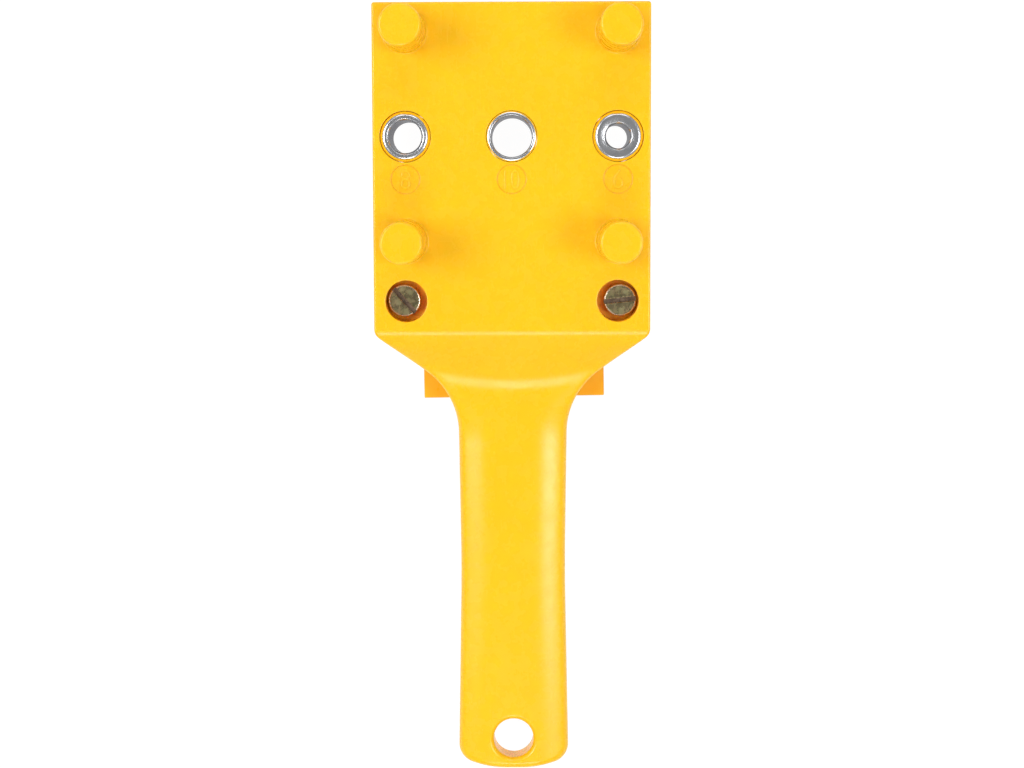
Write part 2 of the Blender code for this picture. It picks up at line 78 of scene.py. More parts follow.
# Colours of painted shade on spots of the body: the counterbores' walls and the rims of the numerals' discs
BORE_WALL_PAINTED_SHADE = (1.0, 0.36, 0.001, 1)
DISC_RIM_PAINTED_SHADE = (0.93, 0.42, 0.001, 1)
SCUFFED_PATCHES = ((-11.0, 3.0, 11.0), (9.0, -11.0, 9.0), (-15.0, 23.0, 10.0), (4.0, -30.0, 8.0))


# Paths

def arc_steps(radius, sweep):
    turn = 2 * math.acos(1 - min(FACET / radius, 1.0))
    return max(2, math.ceil(sweep / turn))


def quarter(centre, radius, start, end, steps=8):
    turns = [math.pi / 2 * (start + (end - start) * i / steps) for i in range(steps + 1)]
    return [(centre[0] + radius * math.cos(t), centre[1] + radius * math.sin(t)) for t in turns]


def arc_between(before, corner, after, radius):
    corner = Vector(corner)
    to_before = (Vector(before) - corner).normalized()
    to_after = (Vector(after) - corner).normalized()
    half = to_before.angle(to_after) / 2
    if math.pi - 2 * half < 1e-5:
        return [corner]
    start = corner + to_before * (radius / math.tan(half))
    end = corner + to_after * (radius / math.tan(half))
    centre = corner + (to_before + to_after).normalized() * (radius / math.sin(half))
    first, last = start - centre, end - centre
    sweep = first.angle(last)
    steps = arc_steps(radius, sweep)
    points = []
    for i in range(steps + 1):
        turn = sweep * i / steps
        points.append(centre + (first * math.sin(sweep - turn) + last * math.sin(turn)) / math.sin(sweep))
    return points


def mirrored(point):
    return (-point[0], point[1])


def rounded_side(corners):
    path = []
    for i, (x, y, radius) in enumerate(corners):
        before = corners[i - 1][:2] if i else mirrored(corners[0])
        after = corners[i + 1][:2] if i + 1 < len(corners) else mirrored(corners[-1])
        path += arc_between(before, (x, y), after, radius)
    return path


def rounded_line(corners):
    path = [Vector(corners[0][:2])]
    for before, (x, y, radius), after in zip(corners, corners[1:], corners[2:]):
        path += arc_between(before[:2], (x, y), after[:2], radius)
    return path + [Vector(corners[-1][:2])]


def height_on(line, y):
    for a, b in zip(line, line[1:]):
        if a.x >= y >= b.x:
            return a.y + (b.y - a.y) * (a.x - y) / (a.x - b.x)
    return line[0].y if y > line[0].x else line[-1].y


def outward(a, b):
    along = (b - a).normalized()
    return Vector((-along.y, along.x))


def inset_corners(corners, distance):
    points = [Vector(c[:2]) for c in corners]
    points = [Vector(mirrored(corners[0]))] + points + [Vector(mirrored(corners[-1]))]
    inner = []
    for i, (_, _, radius) in enumerate(corners, start=1):
        into, out_of = outward(points[i - 1], points[i]), outward(points[i], points[i + 1])
        moved = points[i] - (into + out_of) / (1 + into.dot(out_of)) * distance
        hollow = (points[i] - points[i - 1]).cross(points[i + 1] - points[i]) > 0
        inner.append((moved.x, moved.y, radius + distance if hollow else max(radius - distance, 0.6)))
    return inner


def with_rows(path, rows):
    filled = [path[0]]
    for a, b in zip(path, path[1:]):
        between = sorted((y for y in rows if b.y + 0.1 < y < a.y - 0.1), reverse=True)
        filled += [a.lerp(b, (a.y - y) / (a.y - b.y)) for y in between]
        filled.append(b)
    return filled


# Solids

def solid(bm, name="tool", place=(0, 0, 0)):
    bmesh.ops.translate(bm, verts=bm.verts, vec=Vector(place))
    bmesh.ops.recalc_face_normals(bm, faces=bm.faces)
    mesh = bpy.data.meshes.new(name)
    bm.to_mesh(mesh)
    bm.free()
    thing = bpy.data.objects.new(name, mesh)
    scene.collection.objects.link(thing)
    return thing


def moulding(corners, rows, face, back, edge, crown=None):
    """A symmetric solid between a face and a back, its front edge rounded and its face crowned across x."""
    path = with_rows(rounded_side(corners), rows)
    before = [Vector(mirrored(path[0]))] + path[:-1]
    after = path[1:] + [Vector(mirrored(path[-1]))]
    normals = [(outward(a, p) + outward(p, b)).normalized() for a, p, b in zip(before, path, after)]
    bm = bmesh.new()
    rings = []

    def ring(point_at):
        right = [bm.verts.new(point_at(p, n)) for p, n in zip(path, normals)]
        rings.append((right, [bm.verts.new((-v.co.x, v.co.y, v.co.z)) for v in right]))

    def front(x, y):
        return face(x, y) - (crown(abs(x), y) if crown else 0.0)

    ring(lambda p, n: (p.x, p.y, back(p.y)))
    steps = 12 if edge else 0
    for step in range(steps + 1):
        turn = math.pi / 2 * step / max(steps, 1)

        def on_edge(p, n, turn=turn):
            radius = edge(p.y) if edge else 0.0
            q = p - n * (radius * (1 - math.cos(turn)))
            return (q.x, q.y, front(q.x, q.y) - radius * (1 - math.sin(turn)))

        ring(on_edge)

    def across(right, left):
        """The face's points from a right-hand one to its left-hand one, more of them below the flat head."""
        x, y = right.co.x, right.co.y
        if not crown or y > SLOPE_TOP - 1.1:
            return [right, left]
        places = [x * (1 - i / 20) for i in range(1, 40)]
        return [right, *(bm.verts.new((place, y, front(place, y))) for place in places), left]

    last = len(path) - 1
    lines = [across(right, left) for right, left in zip(*rings[-1])]
    for level, ((right, left), (up_right, up_left)) in enumerate(zip(rings, rings[1:])):
        for i in range(last):
            bm.faces.new((right[i], right[i + 1], up_right[i + 1], up_right[i]))
            bm.faces.new((left[i + 1], left[i], up_left[i], up_left[i + 1]))
        top = level == len(rings) - 2
        bm.faces.new((left[0], right[0], *(lines[0] if top else (up_right[0], up_left[0]))))
        bm.faces.new((left[last], right[last], *(lines[last] if top else (up_right[last], up_left[last]))))
    right, left = rings[0]
    for i in range(last):
        bm.faces.new((right[i], right[i + 1], left[i + 1], left[i]))
    for line, below in zip(lines, lines[1:]):
        if len(line) == len(below):
            for i in range(len(line) - 1):
                bm.faces.new((line[i], below[i], below[i + 1], line[i + 1]))
        else:
            bm.faces.new((*line, *reversed(below)))
    return solid(bm)


def turned(profile, place=(0, 0, 0), steps=ROUND):
    bm = bmesh.new()
    verts = [bm.verts.new((radius, 0.0, height)) for radius, height in profile]
    edges = [bm.edges.new(pair) for pair in zip(verts, verts[1:])]
    if profile[0][0] > 0:
        edges.append(bm.edges.new((verts[-1], verts[0])))
    bmesh.ops.spin(
        bm, geom=verts + edges, cent=(0, 0, 0), axis=(0, 0, 1), angle=math.tau, steps=steps, use_merge=True
    )
    bmesh.ops.remove_doubles(bm, verts=bm.verts, dist=1e-4)
    return solid(bm, place=place)


def cylinder(radius, low, high, place=(0, 0, 0), steps=ROUND):
    return turned([(0.0, low), (radius, low), (radius, high), (0.0, high)], place, steps)


def box(low, high, place=(0, 0, 0)):
    bm = bmesh.new()
    bmesh.ops.create_cube(bm, size=1.0)
    middle, sides = (Vector(low) + Vector(high)) / 2, Vector(high) - Vector(low)
    for vert in bm.verts:
        vert.co = middle + Vector(a * b for a, b in zip(vert.co, sides))
    return solid(bm, place=place)


def prism(outline, low, high, place=(0, 0, 0), across=False):
    bm = bmesh.new()
    face = bm.faces.new([bm.verts.new((low, p[0], p[1]) if across else (p[0], p[1], low)) for p in outline])
    raised = bmesh.ops.extrude_face_region(bm, geom=[face])["geom"]
    step = Vector((high - low, 0, 0)) if across else Vector((0, 0, high - low))
    bmesh.ops.translate(bm, verts=[v for v in raised if isinstance(v, bmesh.types.BMVert)], vec=step)
    return solid(bm, place=place)


def both_sides(path):
    return list(path) + [Vector(mirrored(p)) for p in reversed(path)]


def carved(target, *steps):
    """The target with its tools added or cut away in turn, as plain mesh."""
    for operation, tool in steps:
        change = target.modifiers.new(operation, "BOOLEAN")
        change.operation, change.solver, change.object = operation, "EXACT", tool
    return baked(target, [tool for _, tool in steps])


def baked(target, tools=()):
    graph = bpy.context.evaluated_depsgraph_get()
    mesh = bpy.data.meshes.new_from_object(target.evaluated_get(graph))
    target.modifiers.clear()
    target.data = mesh
    for tool in tools:
        bpy.data.objects.remove(tool, do_unlink=True)
    return target


def cut(*tools):
    return [("DIFFERENCE", tool) for tool in tools]


def piece(thing, name, body, node, slot, origin=(0, 0, 0), sharp=32.0, finish=None):
    """Turns a finished shape into a piece in metres, smooth but for its real edges, riding on its body."""
    bm = bmesh.new()
    bm.from_mesh(thing.data)
    bmesh.ops.remove_doubles(bm, verts=bm.verts, dist=2e-4)
    bmesh.ops.dissolve_degenerate(bm, edges=bm.edges, dist=2e-4)
    bmesh.ops.transform(bm, verts=bm.verts, matrix=Matrix.Scale(MM, 4) @ Matrix.Translation(-Vector(origin)))
    bm.to_mesh(thing.data)
    bm.free()
    thing.name = thing.data.name = name
    thing.location = (Vector(origin) + DATUM) * MM
    thing.data.materials.clear()
    thing.data.materials.append(MATERIALS[finish or slot])
    thing.data.shade_smooth()
    thing.data.set_sharp_from_angle(angle=math.radians(sharp))
    even = thing.modifiers.new("even_normals", "WEIGHTED_NORMAL")
    even.keep_sharp = True
    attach(thing, body)
    if node:
        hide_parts(node)
    return thing


# Materials

class Nodes:
    """A short hand for one material's nodes."""

    def __init__(self, name):
        self.material = bpy.data.materials.new(name)
        self.material.use_nodes = True
        self.tree = self.material.node_tree
        self.shader = self.tree.nodes["Principled BSDF"]
        coords = self.tree.nodes.new("ShaderNodeTexCoord").outputs["Object"]
        self.space = self.add("ShaderNodeVectorMath", "Vector", operation="SCALE", Vector=coords)
        self.space.node.inputs["Scale"].default_value = 1 / MM

    def add(self, kind, output, operation=None, settings=None, **inputs):
        node = self.tree.nodes.new(kind)
        if operation:
            node.operation = operation
        for key, value in (settings or {}).items():
            setattr(node, key, value)
        for key, value in inputs.items():
            by_place = key[0] == "i" and key[1:].isdigit()
            self.join(value, node.inputs[int(key[1:]) if by_place else key.replace("_", " ")])
        return node.outputs[output]

    def join(self, value, socket):
        if hasattr(value, "is_output"):
            self.tree.links.new(value, socket)
        else:
            socket.default_value = value

    def math(self, operation, a, b=0.0, clamp=False):
        return self.add("ShaderNodeMath", "Value", operation, {"use_clamp": clamp}, i0=a, i1=b)

    def noise(self, scale, detail=2.0, where=None, roughness=0.5):
        inputs = {"Vector": where or self.space, "Scale": scale, "Detail": detail, "Roughness": roughness}
        return self.add("ShaderNodeTexNoise", "Fac", **inputs)

    def stretched(self, scale, turn=0.0):
        rotation = (0.0, 0.0, math.radians(turn))
        return self.add("ShaderNodeMapping", "Vector", Vector=self.space, Scale=scale, Rotation=rotation)

    def distance(self, place):
        return self.add("ShaderNodeVectorMath", "Value", operation="DISTANCE", i0=self.space, i1=place)

    def range(self, value, low, high, to_low=0.0, to_high=1.0):
        return self.add("ShaderNodeMapRange", "Result", i0=value, i1=low, i2=high, i3=to_low, i4=to_high)

    def mix(self, share, a, b):
        node = self.tree.nodes.new("ShaderNodeMix")
        node.data_type = "RGBA"
        self.join(share, node.inputs[0])
        self.join(a, node.inputs[6])
        self.join(b, node.inputs[7])
        return node.outputs[2]

    def wear_and_highlight_edges(self, radius, low=0.02, high=0.35):
        """A mask of the outer edges, where the rounded normal leaves the true one."""
        soft = self.add("ShaderNodeBevel", "Normal", settings={"samples": 6}, Radius=radius * MM)
        true = self.tree.nodes.new("ShaderNodeNewGeometry").outputs["Normal"]
        dot = self.add("ShaderNodeVectorMath", "Value", operation="DOT_PRODUCT", i0=soft, i1=true)
        return soft, self.range(self.math("SUBTRACT", 1.0, dot), low, high)

    def turned_coords(self):
        """Radius and height in millimetres about the piece's axis, and how far the face looks along it."""
        parts = self.tree.nodes.new("ShaderNodeSeparateXYZ")
        self.join(self.space, parts.inputs[0])
        x, y, z = parts.outputs
        radius = self.math("SQRT", self.math("ADD", self.math("MULTIPLY", x, x), self.math("MULTIPLY", y, y)))
        facing = self.tree.nodes.new("ShaderNodeSeparateXYZ")
        self.join(self.tree.nodes.new("ShaderNodeNewGeometry").outputs["True Normal"], facing.inputs[0])
        return radius, z, self.math("ABSOLUTE", facing.outputs[2])

    def bump(self, height, strength, distance, normal=None):
        inputs = {"Height": height, "Strength": strength, "Distance": distance * MM}
        if normal:
            inputs["Normal"] = normal
        return self.add("ShaderNodeBump", "Normal", **inputs)


def plastic(name, deep, colour, light, gloss, glow, scuffed_with_painted_shade=False):
    """Moulded plastic in two close shades, lighter on worn edges and, on the body, in patches of scuffs and
    with painted shade in its counterbores and at its numerals' discs.
    """
    n = Nodes(name)
    broad = n.noise(0.045, 3.0)
    cloud = n.noise(0.35, 4.0)
    fine = n.noise(7.0, 3.0, roughness=0.6)
    base = n.mix(n.range(broad, 0.3, 0.7), deep, colour)
    soft, edge = n.wear_and_highlight_edges(0.35)
    rub = n.math("MULTIPLY", edge, n.range(cloud, 0.42, 0.7), clamp=True)
    base = n.mix(n.math("MULTIPLY", rub, 0.35), base, light)
    rough = n.range(cloud, 0.25, 0.75, gloss - 0.05, gloss + 0.07)
    height = n.math("MULTIPLY", fine, 0.6)
    if scuffed_with_painted_shade:
        streaks = n.range(n.noise(1.0, 3.0, n.stretched((1.9, 0.20, 1.0), 3.0), 0.65), 0.56, 0.72)
        patch = 0.25
        for x, y, reach in SCUFFED_PATCHES:
            patch = n.math("MAXIMUM", patch, n.range(n.distance((x, y, 0.0)), reach, 0.2 * reach))
        scuff = n.math("MULTIPLY", streaks, patch, clamp=True)
        base = n.mix(n.math("MULTIPLY", scuff, 0.30), base, light)
        rough = n.math("ADD", rough, n.math("MULTIPLY", scuff, 0.10))
        # Painted shade: the counterbores' walls turn a deeper orange.
        for side in (-1, 1):
            away = n.distance((side * PITCH, SCREW_Y, -3.2))
            base = n.mix(n.range(away, 6.1, 5.75, 0.0, 0.8), base, BORE_WALL_PAINTED_SHADE)
        # Painted shade: a darker ring round the rim of each numeral's recessed disc.
        for side in (-1, 0, 1):
            away = n.distance((side * PITCH, DISC_Y, -DISC_DEPTH / 2))
            off = n.math("ABSOLUTE", n.math("SUBTRACT", away, DISC_RADIUS - 0.1))
            base = n.mix(n.range(off, 0.30, 0.05, 0.0, 0.5), base, DISC_RIM_PAINTED_SHADE)
    n.join(base, n.shader.inputs["Base Color"])
    n.join(rough, n.shader.inputs["Roughness"])
    n.join(n.bump(height, 0.08, 0.02, soft), n.shader.inputs["Normal"])
    n.shader.inputs["Subsurface Weight"].default_value = glow
    n.shader.inputs["Subsurface Radius"].default_value = (1.0, 0.25, 0.03)
    n.shader.inputs["Subsurface Scale"].default_value = 3.0 * MM
    n.shader.inputs["IOR"].default_value = 1.5
    return n.material


def turned_steel(name):
    """Steel with fine turning rings, painted shade in the bore, painted highlights on its edges and the
    plastic's yellow on its outer chamfers.
    """
    n = Nodes(name)
    radius, z, facing = n.turned_coords()
    upright = n.math("LESS_THAN", facing, 0.25)
    ring_at = n.add("ShaderNodeCombineXYZ", "Vector", X=radius, Y=z)
    rings = n.noise(6.0, 3.0, ring_at, 0.7)
    cloud = n.noise(0.5, 3.0)
    soft, edge = n.wear_and_highlight_edges(0.12)
    base = n.mix(n.range(rings, 0.3, 0.7), (0.56, 0.57, 0.60, 1), (0.76, 0.77, 0.79, 1))
    base = n.mix(n.math("MULTIPLY", n.range(cloud, 0.45, 0.7), 0.25), base, (0.40, 0.40, 0.41, 1))
    # Painted shade: the bore's wall is darker and its reflection is dimmed by the specular tint.
    bore_painted_shade = n.math("MULTIPLY", upright, n.math("LESS_THAN", radius, 5.5))
    base = n.mix(n.math("MULTIPLY", bore_painted_shade, n.range(rings, 0.3, 0.7, 0.95, 0.6)), base, (0.20, 0.20, 0.22, 1))
    # Painted highlight: the edges turn lighter.
    base = n.mix(n.math("MULTIPLY", edge, 0.5, clamp=True), base, (0.86, 0.87, 0.88, 1))
    n.join(n.mix(bore_painted_shade, (1, 1, 1, 1), (0.16, 0.16, 0.18, 1)), n.shader.inputs["Specular Tint"])
    # The outer chamfers are coloured as the yellow plastic and are not metallic.
    plastic_coloured_chamfer = n.math("MULTIPLY", n.math("LESS_THAN", facing, 0.85), n.math("GREATER_THAN", radius, 5.6))
    base = n.mix(plastic_coloured_chamfer, base, (1.0, 0.64, 0.02, 1))
    n.join(n.math("SUBTRACT", 1.0, plastic_coloured_chamfer), n.shader.inputs["Metallic"])
    n.join(base, n.shader.inputs["Base Color"])
    n.join(n.range(rings, 0.25, 0.75, 0.14, 0.30), n.shader.inputs["Roughness"])
    n.join(n.bump(rings, 0.25, 0.02, soft), n.shader.inputs["Normal"])
    return n.material


def yellow_zinc(name):
    """Plated steel, cloudy on its faces, with painted shade in the slot and painted highlights on its edges
    and rim.
    """
    n = Nodes(name)
    cloud = n.noise(0.55, 4.0, roughness=0.6)
    tint = n.noise(0.9, 3.0)
    grain = n.noise(9.0, 2.0)
    soft, edge = n.wear_and_highlight_edges(0.15)
    base = n.mix(n.range(tint, 0.35, 0.65), (0.32, 0.28, 0.14, 1), (0.38, 0.29, 0.16, 1))
    base = n.mix(n.math("MULTIPLY", n.range(cloud, 0.5, 0.68), 0.6), base, (0.24, 0.25, 0.13, 1))
    radius, z, facing = n.turned_coords()
    upright = n.math("LESS_THAN", facing, 0.25)
    # Painted shade: brown in the slot and below its floor, the shank included.
    slot_painted_shade = n.math("MAXIMUM", n.math("LESS_THAN", z, 1.35), upright)
    slot_painted_shade = n.math("MULTIPLY", slot_painted_shade, n.math("LESS_THAN", radius, 3.85))
    base = n.mix(n.math("MULTIPLY", slot_painted_shade, 0.8), base, (0.26, 0.17, 0.13, 1))
    # Painted highlights: the edges and the head's rim turn lighter.
    base = n.mix(n.math("MULTIPLY", edge, 0.8, clamp=True), base, (0.88, 0.86, 0.66, 1))
    rim = n.math("MULTIPLY", n.math("GREATER_THAN", radius, 3.6), n.math("GREATER_THAN", z, 1.9))
    base = n.mix(n.math("MULTIPLY", rim, 0.8), base, (0.95, 0.93, 0.80, 1))
    n.join(base, n.shader.inputs["Base Color"])
    n.join(n.range(cloud, 0.3, 0.7, 0.17, 0.40), n.shader.inputs["Roughness"])
    n.join(n.bump(grain, 0.32, 0.03, soft), n.shader.inputs["Normal"])
    n.shader.inputs["Metallic"].default_value = 1.0
    return n.material


MATERIALS = {
    "body_plastic": plastic(
        "body_plastic", (0.985, 0.535, 0.001, 1), (0.99, 0.555, 0.001, 1), (1.0, 0.64, 0.06, 1), 0.26, 0.18,
        scuffed_with_painted_shade=True,
    ),
    # The numerals' copy of the body plastic is lighter: a painted highlight on the raised figures.
    "numeral_plastic": plastic(
        "numeral_plastic", (0.98, 0.57, 0.004, 1), (0.99, 0.59, 0.006, 1), (1.0, 0.70, 0.12, 1), 0.26, 0.0
    ),
    # The fence's copy of the plastic is a deeper orange than the body's: painted shade.
    "fence_plastic": plastic(
        "fence_plastic", (0.97, 0.46, 0.001, 1), (0.99, 0.48, 0.001, 1), (1.0, 0.57, 0.05, 1), 0.30, 0.18
    ),
    "bush_steel": turned_steel("bush_steel"),
    "yellow_zinc": yellow_zinc("yellow_zinc"),
}
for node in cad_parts.values():
    for spot in node.material_slots:
        spot.material = MATERIALS[spot.material.name.split(".")[0]] if spot.material else None


# Jig body

corners = [
    (HEAD_HALF, HEAD_TOP, 0.7),
    (HEAD_HALF, SHOULDER_Y, 3.0),
    (13.75, NECK_Y, 20.0),
    (13.1, WAIST_Y, 500.0),
    (13.98, BUTT_Y + 2.3, 4.5),
    (5.5, BUTT_Y, 30.0),
]
face_line = rounded_line([
    (PAST_TOP, 0.0),
    (SLOPE_TOP, 0.0, 3.5),
    (SLOPE_FOOT, -DROP, 10.0),
    (PAST_BUTT, -DROP),
])
shift = PLATE * math.tan(math.atan2(DROP, SLOPE_TOP - SLOPE_FOOT) / 2)
hollow_line = rounded_line([
    (PAST_TOP, -PLATE),
    (SLOPE_TOP + shift, -PLATE, 0.6),
    (SLOPE_FOOT + shift, -DROP - PLATE, 13.0),
    (PAST_BUTT, -DROP - PLATE),
])
back_line = rounded_line([
    (PAST_TOP, -HEAD_DEPTH),
    (-79.95, -HEAD_DEPTH, 25.0),
    (-99.95, BACK, 25.0),
    (-111.95, BACK, 25.0),
    (-144.4, BUTT_BACK, 25.0),
    (PAST_BUTT, BUTT_BACK),
])
side_line = [Vector((p[1], p[0])) for p in rounded_side(corners) if -153.0 < p[1] < HEAD_TOP - 1.0]
side_line.append(Vector((PAST_BUTT, 14.2)))
EDGE_START, EDGE_RUN = -50.0, 26.0
edge_rows = [EDGE_START - i for i in range(27)] + [-79.0 - 3.0 * i for i in range(26)]


def on_grip(y):
    """How much of the grip's own edge there is at y: none on the head, all of it past the neck."""
    share = min(max((EDGE_START - y) / EDGE_RUN, 0.0), 1.0)
    return share * share * (3 - 2 * share)


def front_edge(y):
    return HEAD_EDGE + (GRIP_EDGE - HEAD_EDGE) * on_grip(y)


def face_height(x, y):
    """The face's height, with the foot of its slope bowed up towards the sides."""
    down = min(max((SLOPE_TOP - 2.0 - y) / 8.0, 0.0), 1.0)
    return height_on(face_line, y - FOOT_BOW * (x / 17.0)**2 * down * down * (3 - 2 * down))


def face_crown(x, y):
    """How far the grip's face has curved down at a distance from its middle."""
    beyond = x - (height_on(side_line, y) - CROWN_WIDTH * on_grip(y))
    beyond = min(max(beyond, 0.0), CROWN_WIDTH + 1.0)
    return CROWN_RADIUS - math.sqrt(CROWN_RADIUS**2 - beyond**2) if on_grip(y) else 0.0


def hollow():
    """What is hollow behind the face: the core less its ribs, bosses, keel and the hang hole's collar."""
    rows = [p.x for p in hollow_line]
    core = moulding(
        inset_corners(corners, WALL), rows, lambda x, y: height_on(hollow_line, y), lambda y: BACK - CUT, None
    )
    low, high, wide = BACK - 2 * CUT, CUT, FAR
    tools = [box((-wide, y - HALF_RIB, low), (wide, y + HALF_RIB, high)) for y in RIB_ROWS]
    for side in (-1, 1):
        x = side * PITCH / 2
        tools.append(box((x - HALF_RIB, NECK_Y, low), (x + HALF_RIB, wide, high)))
        tools.append(cylinder(SCREW_BOSS, low, high, (side * PITCH, SCREW_Y, 0)))
    for side in (-1, 0, 1):
        tools.append(cylinder(BUSH_BOSS, low, high, (side * PITCH, 0, 0)))
    keel = [p for p in back_line if HOLE_Y < p.x < SLOPE_FOOT]
    spine = [(wide, high), (HOLE_Y, high), (HOLE_Y, height_on(back_line, HOLE_Y) + KEEL_RECESS)]
    spine += [(p.x, p.y + KEEL_RECESS) for p in reversed(keel)]
    spine += [(SLOPE_FOOT, -HEAD_DEPTH + KEEL_RECESS), (SLOPE_FOOT, low), (wide, low)]
    tools.append(prism(spine, -HALF_RIB, HALF_RIB, across=True))
    first = NECK_Y - 14.0
    for i in range(GRIP_RIBS):
        y = first + (HOLE_Y - first) * i / GRIP_RIBS
        rib_back = height_on(back_line, y) + RIB_RECESS
        tools.append(box((-wide, y - HALF_RIB, rib_back), (wide, y + HALF_RIB, high)))
    tools.append(cylinder(HOLE_RADIUS + WALL, -DROP - 6.9, high, (0, HOLE_Y, 0)))
    return carved(core, *cut(*tools))


def peg(place):
    foot = PEG_FOOT + PEG_FILLET
    fillet = quarter((foot, PEG_FILLET - SKIM), PEG_FILLET, -1, -2)
    tip = quarter((PEG_TIP - PEG_ROUND, PEG_TOP - PEG_ROUND), PEG_ROUND, 0, 1)
    return turned([(0.0, -PLATE / 2), (foot, -PLATE / 2)] + fillet + tip + [(0.0, PEG_TOP)], place)


def numeral(text, side):
    curve = bpy.data.curves.new("numeral", "FONT")
    curve.body, curve.size, curve.align_x, curve.align_y = text, 7.0, "CENTER", "CENTER"
    curve.extrude, curve.resolution_u = 0.16, 8
    curve.offset = -0.02
    thing = bpy.data.objects.new("numeral", curve)
    scene.collection.objects.link(thing)
    thing = baked_text(thing)
    low = Vector(map(min, *[v.co for v in thing.data.vertices]))
    high = Vector(map(max, *[v.co for v in thing.data.vertices]))
    middle, sides = (low + high) / 2, high - low
    scale = (NUMERAL_WIDE[text] / sides.x, NUMERAL_HIGH / sides.y, 1.0, 1.0)
    fit = Matrix.Diagonal(scale) @ Matrix.Translation(-middle)
    thing.data.transform(Matrix.Translation((side * PITCH, DISC_Y, NUMERAL_Z)) @ fit)
    return thing


def baked_text(thing):
    graph = bpy.context.evaluated_depsgraph_get()
    mesh = bpy.data.meshes.new_from_object(thing.evaluated_get(graph))
    bpy.data.objects.remove(thing, do_unlink=True)
    made = bpy.data.objects.new("numeral", mesh)
    scene.collection.objects.link(made)
    return made


def jig_body():
    rows = [p.x for p in face_line] + [p.x for p in back_line] + edge_rows
    body = moulding(corners, rows, face_height, lambda y: height_on(back_line, y), front_edge, face_crown)
    steps = cut(hollow())
    low = BACK - CUT
    for side in (-1, 1):
        for row in (-1, 1):
            place = (side * PITCH, row * PEG_ROW, 0)
            steps.append(("UNION", peg(place)))
            steps += cut(cylinder(PEG_CORE, low, PEG_TOP - PEG_ROOF, place, 48))
        place = (side * PITCH, SCREW_Y, 0)
        outer = BORE_RADIUS + BORE_RIM
        rim = quarter((outer, SKIM - BORE_RIM), BORE_RIM, 2, 1, 4)
        profile = [(0.0, BORE_FLOOR), (BORE_RADIUS, BORE_FLOOR)] + rim
        steps += cut(turned(profile + [(outer, CUT), (0.0, CUT)], place))
        steps += cut(cylinder(SCREW_HOLE, low, BORE_FLOOR / 2, place, 64))
    for side in (-1, 0, 1):
        outer = SEAT_RADIUS + SEAT_RIM
        rim = quarter((outer, SKIM - SEAT_RIM), SEAT_RIM, 2, 1, 3)
        profile = [(0.0, low), (SEAT_RADIUS, low)] + rim + [(outer, CUT), (0.0, CUT)]
        steps += cut(turned(profile, (side * PITCH, 0, 0)))
        rim = quarter((DISC_RADIUS, SKIM - DISC_RIM), DISC_RIM, 2, 1, 4)
        profile = [(0.0, -DISC_DEPTH), (DISC_RADIUS - DISC_RIM, -DISC_DEPTH)] + rim
        steps += cut(turned(profile + [(DISC_RADIUS, CUT), (0.0, CUT)], (side * PITCH, DISC_Y, 0), 64))
    outer = HOLE_RADIUS + HOLE_RIM
    rim = quarter((outer, SKIM - DROP - HOLE_RIM), HOLE_RIM, 2, 1, 10)
    steps += cut(turned([(0.0, low), (HOLE_RADIUS, low)] + rim + [(outer, 0.0), (0.0, 0.0)], (0, HOLE_Y, 0)))
    piece(carved(body, *steps), "moulded_body", "jig", "jig_body", "body_plastic")
    for text, side in (("8", -1), ("10", 0), ("6", 1)):
        name = f"raised_numeral_{text}"
        piece(numeral(text, side), name, "jig", None, "body_plastic", finish="numeral_plastic")


# Drill bushes

def bush(name, side, bore):
    bevel, roll, inner = (0.50, 0.92, 0.40) if bore < 4.5 else (0.12, 0.62, 0.28)
    half, soft = HEAD_DEPTH / 2 - 0.05, 0.05
    rolled = quarter((BUSH_RADIUS - bevel - roll * math.sqrt(0.5), half - roll), roll, 0.5, 1, 10)
    top = [(BUSH_RADIUS, rolled[0][1] - bevel)] + rolled
    top += [
        (bore + inner + soft, half),
        (bore + inner - soft / 2, half - soft / 2),
        (bore + soft / 2, half - inner + soft / 2),
        (bore, half - inner - soft),
    ]
    bottom = [(radius, -height) for radius, height in reversed(top)]
    centre = (side * PITCH, 0, -HEAD_DEPTH / 2)
    thing = turned(bottom + top, centre, 128)
    piece(thing, f"turned_bush_{name}", "jig", f"drill_bush_{name}", "bush_steel", centre, 25.0)


# Clamp screws and nuts

